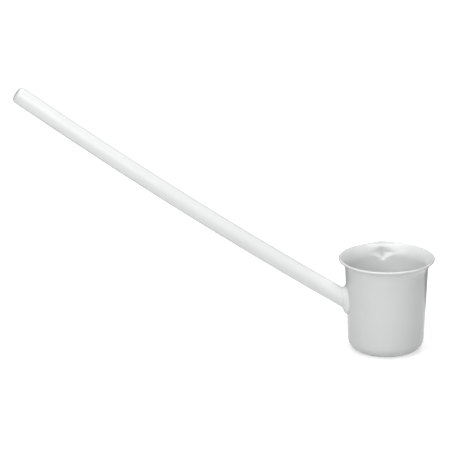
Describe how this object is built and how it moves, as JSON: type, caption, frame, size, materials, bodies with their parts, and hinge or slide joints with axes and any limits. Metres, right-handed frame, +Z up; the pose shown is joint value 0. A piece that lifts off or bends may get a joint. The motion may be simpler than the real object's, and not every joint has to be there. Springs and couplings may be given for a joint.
{
  "type": "water dipper",
  "caption": "White plastic dipper: a beaker with a flared lip and a pouring spout, welded to a long, slightly bowed pipe handle with a plugged end.",
  "frame": {"origin": "centre of the beaker's foot, on the surface it stands on", "axes": "+Z up the beaker's axis; the handle rises towards -X; the pouring spout points towards +Y"},
  "size_m": [0.524, 0.1262, 0.3496],
  "materials": {
    "moulded_plastic": "semi-gloss injection-moulded polypropylene",
    "extruded_plastic": "gloss extruded polypropylene",
    "weld_plastic": "gloss welded polypropylene"
  },
  "bodies": {
    "root": {"cup": "moulded_plastic", "handle_tube": "extruded_plastic", "weld_bead": "weld_plastic", "end_plug": "moulded_plastic"}
  },
  "joints": []
}
